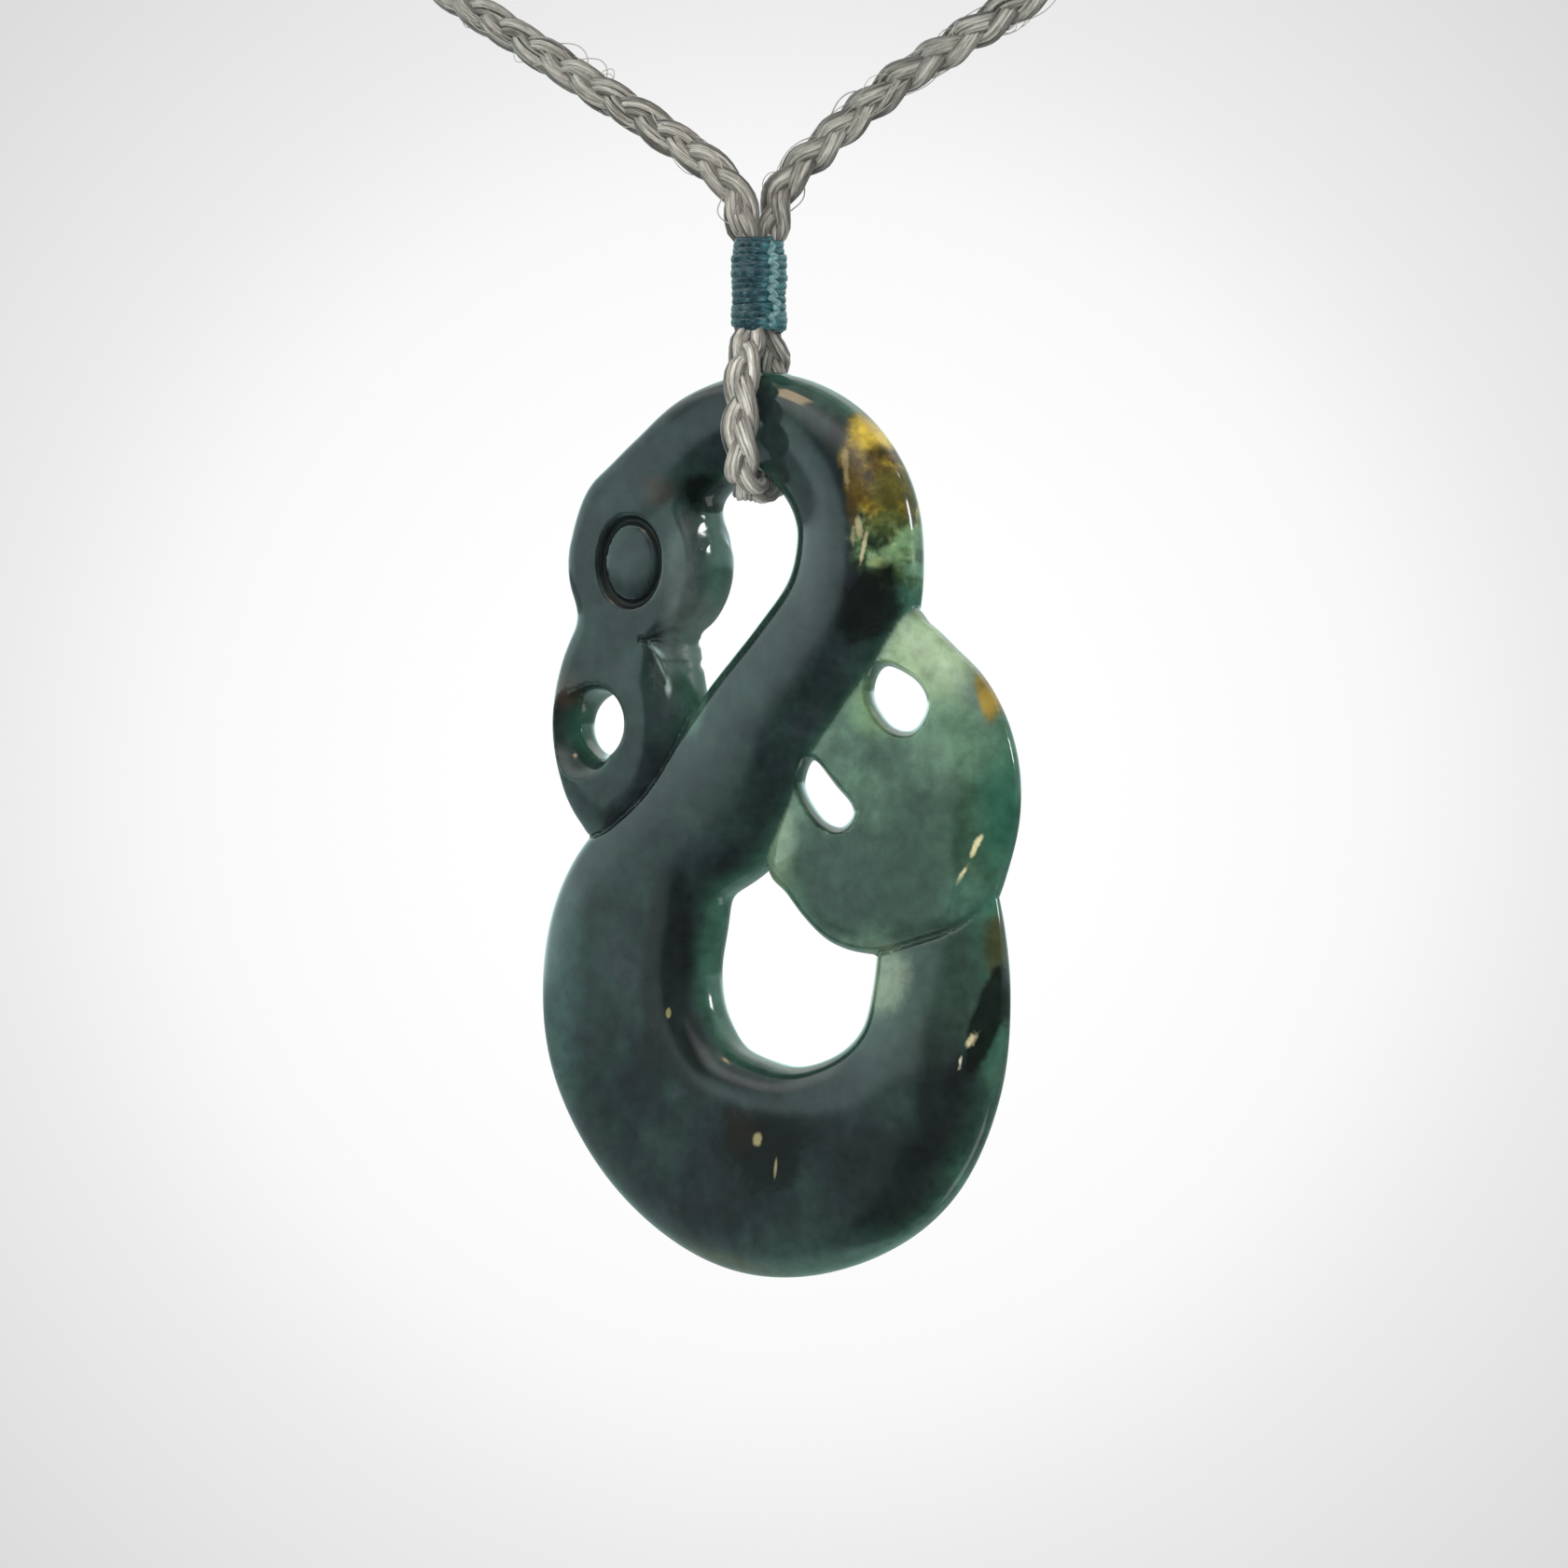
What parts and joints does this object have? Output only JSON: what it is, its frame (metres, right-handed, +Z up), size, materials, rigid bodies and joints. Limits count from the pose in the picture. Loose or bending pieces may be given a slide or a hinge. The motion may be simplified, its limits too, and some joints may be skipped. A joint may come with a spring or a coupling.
{
  "type": "manaia pendant on a plaited neck cord",
  "caption": "Carved and pierced greenstone manaia pendant hung on a plaited fibre neck cord, with a thread binding above the stone and a clasp at the nape.",
  "frame": {"origin": "neck side of the clasp at the nape, where the cord hangs on the neck", "axes": "+Z up, -Y the way the pendant faces, X across the neck; the stone hangs 150 mm in front of the nape"},
  "size_m": [0.1493, 0.16, 0.1636],
  "materials": {
    "nephrite": "polished nephrite, dark green with a pale translucent lobe and a golden rind",
    "plait_fibre": "matt warm grey plaited fibre yarn",
    "binding_thread": "teal waxed thread, tightly wound",
    "clasp_steel": "plain satin steel barrel"
  },
  "bodies": {
    "cord": {"plait_left": "plait_fibre", "plait_right": "plait_fibre", "binding": "binding_thread", "nape_clasp": "clasp_steel"},
    "pendant": {"manaia_stone": "nephrite"}
  },
  "joints": [
    {"name": "pendant_swing", "type": "hinge", "parent": "cord", "child": "pendant", "pos_m": [0.0002, -0.15, -0.11335], "axis": [0, 1, 0], "range_deg": [-30, 30]}
  ]
}
